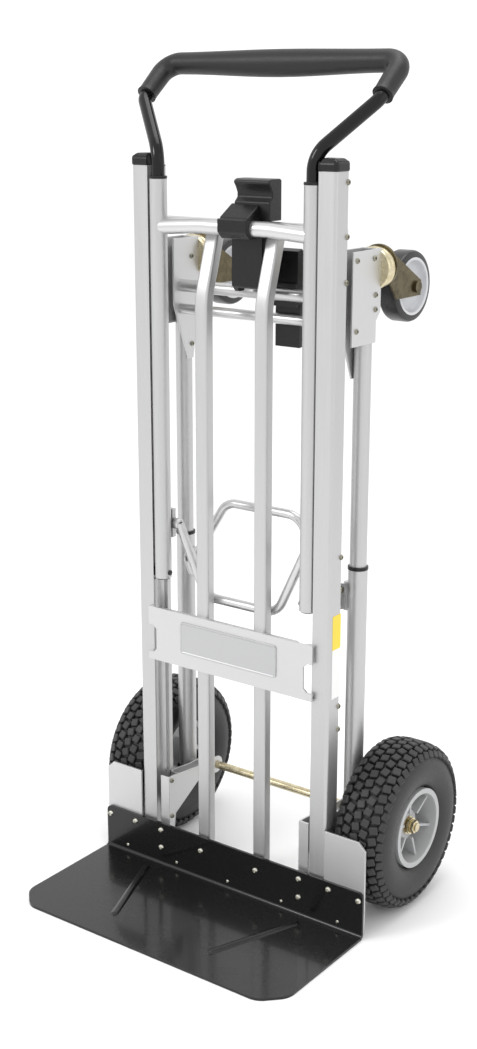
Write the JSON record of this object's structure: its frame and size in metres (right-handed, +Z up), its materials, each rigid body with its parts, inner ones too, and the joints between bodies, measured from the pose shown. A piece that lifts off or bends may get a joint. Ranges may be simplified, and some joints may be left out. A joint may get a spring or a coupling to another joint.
{
  "type": "folding platform cart",
  "caption": "Upright aluminium hand truck that converts to a platform cart: toe plate, road wheels, swing-out leg frame with casters, sliding and folding handle.",
  "frame": {"origin": "on the floor under the middle of the outline of the upright truck", "axes": "+Z up along the rails, +Y from the toe plate towards the wheels, X across the truck"},
  "size_m": [0.521, 0.4806, 1.2419],
  "materials": {
    "anodised": "satin anodised extrusion",
    "plate_aluminium": "brushed sheet",
    "toe_coat": "gloss black powder coat",
    "bow_coat": "gloss black powder coat",
    "zinc": "yellow zinc plate",
    "foam": "matte foam",
    "black_plastic": "fine grain",
    "hub_plastic": "satin grey",
    "tyre": "matte tread",
    "caster_tread": "smooth"
  },
  "bodies": {
    "frame": {"rail_left": "anodised", "rail_right": "anodised", "rail_cap_left": "black_plastic", "rail_cap_right": "black_plastic", "top_bar": "anodised", "center_bar_left": "anodised", "center_bar_right": "anodised", "crossplate": "plate_aluminium", "badge_plate": "plate_aluminium", "toe_plate": "toe_coat", "guard_left": "plate_aluminium", "guard_right": "plate_aluminium", "wheel_bracket_left": "plate_aluminium", "wheel_bracket_right": "plate_aluminium", "axle": "zinc", "axle_nuts": "zinc", "toe_bolts": "zinc", "frame_bolts": "zinc", "latch_housing": "black_plastic"},
    "wheel_left": {"tyre_left": "tyre", "wheel_hub_left": "hub_plastic", "wheel_bearings_left": "zinc"},
    "wheel_right": {"tyre_right": "tyre", "wheel_hub_right": "hub_plastic", "wheel_bearings_right": "zinc"},
    "leg_frame": {"leg_tube_left": "anodised", "leg_tube_right": "anodised", "leg_foot_left": "black_plastic", "leg_foot_right": "black_plastic", "leg_collar_left": "black_plastic", "leg_collar_right": "black_plastic", "stay_bracket_left": "plate_aluminium", "stay_bracket_right": "plate_aluminium", "leg_bolts": "zinc"},
    "rail_stay": {"rail_stay": "anodised"},
    "leg_stay": {"leg_stay": "anodised"},
    "caster_frame": {"caster_tube_left": "anodised", "caster_tube_right": "anodised", "caster_bracket_left": "plate_aluminium", "caster_bracket_right": "plate_aluminium", "upper_bar": "anodised", "lower_bar": "anodised", "caster_bolts": "zinc", "caster_race_left": "zinc", "caster_race_right": "zinc"},
    "leg_catch": {"leg_catch": "black_plastic"},
    "caster_fork_left": {"caster_fork_left": "zinc"},
    "caster_fork_right": {"caster_fork_right": "zinc"},
    "caster_wheel_left": {"caster_tyre_left": "caster_tread", "caster_hub_left": "hub_plastic"},
    "caster_wheel_right": {"caster_tyre_right": "caster_tread", "caster_hub_right": "hub_plastic"},
    "handle_carriage": {"handle_sliders": "black_plastic"},
    "handle": {"handle_tube_left": "anodised", "handle_tube_right": "anodised", "handle_ends": "black_plastic", "handle_cross_tube": "anodised", "handle_bow": "bow_coat", "handle_grip": "foam"},
    "latch_lever": {"latch_lever": "black_plastic"}
  },
  "joints": [
    {"name": "wheel_spin_left", "type": "hinge", "parent": "frame", "child": "wheel_left", "pos_m": [-0.218, 0.11335, 0.127], "axis": [1, 0, 0], "continuous": true},
    {"name": "wheel_spin_right", "type": "hinge", "parent": "frame", "child": "wheel_right", "pos_m": [0.218, 0.11335, 0.127], "axis": [1, 0, 0], "continuous": true},
    {"name": "leg_swing", "type": "hinge", "parent": "frame", "child": "leg_frame", "pos_m": [0, 0.11335, 0.127], "axis": [-1, 0, 0], "range_deg": [0, 24]},
    {"name": "rail_stay_fold", "type": "hinge", "parent": "frame", "child": "rail_stay", "pos_m": [0, 0.01215, 0.56], "axis": [1, 0, 0], "range_deg": [0, 68.5]},
    {"name": "leg_stay_fold", "type": "hinge", "parent": "leg_frame", "child": "leg_stay", "pos_m": [0, 0.06405, 0.492], "axis": [1, 0, 0], "range_deg": [0, 92.5]},
    {"name": "caster_slide", "type": "slide", "parent": "leg_frame", "child": "caster_frame", "axis": [0, 0, -1], "range_m": [0, 0.23]},
    {"name": "catch_press", "type": "hinge", "parent": "caster_frame", "child": "leg_catch", "pos_m": [0, 0.05715, 0.911], "axis": [1, 0, 0], "range_deg": [0, 12], "stiffness_Nm_per_rad": 2},
    {"name": "caster_swivel_left", "type": "hinge", "parent": "caster_frame", "child": "caster_fork_left", "pos_m": [-0.1585, 0.12715, 0.954], "axis": [0, 1, 0], "continuous": true},
    {"name": "caster_spin_left", "type": "hinge", "parent": "caster_fork_left", "child": "caster_wheel_left", "pos_m": [-0.1585, 0.18955, 0.9195], "axis": [1, 0, 0], "continuous": true},
    {"name": "caster_swivel_right", "type": "hinge", "parent": "caster_frame", "child": "caster_fork_right", "pos_m": [0.1585, 0.12715, 0.954], "axis": [0, 1, 0], "continuous": true},
    {"name": "caster_spin_right", "type": "hinge", "parent": "caster_fork_right", "child": "caster_wheel_right", "pos_m": [0.1585, 0.18955, 0.9195], "axis": [1, 0, 0], "continuous": true},
    {"name": "handle_slide", "type": "slide", "parent": "frame", "child": "handle_carriage", "axis": [0, 0, 1], "range_m": [0, 0.5]},
    {"name": "handle_fold", "type": "hinge", "parent": "handle_carriage", "child": "handle", "pos_m": [0, -0.00715, 0.4872], "axis": [1, 0, 0], "range_deg": [0, 90]},
    {"name": "latch_press", "type": "hinge", "parent": "handle", "child": "latch_lever", "pos_m": [0.0105, -0.00715, 1.006], "axis": [1, 0, 0], "range_deg": [0, 28], "stiffness_Nm_per_rad": 1.5}
  ],
  "couplings": [
    {"joint": "rail_stay_fold", "follows": "leg_swing", "ratio": 2.84},
    {"joint": "leg_stay_fold", "follows": "leg_swing", "ratio": 3.84}
  ]
}
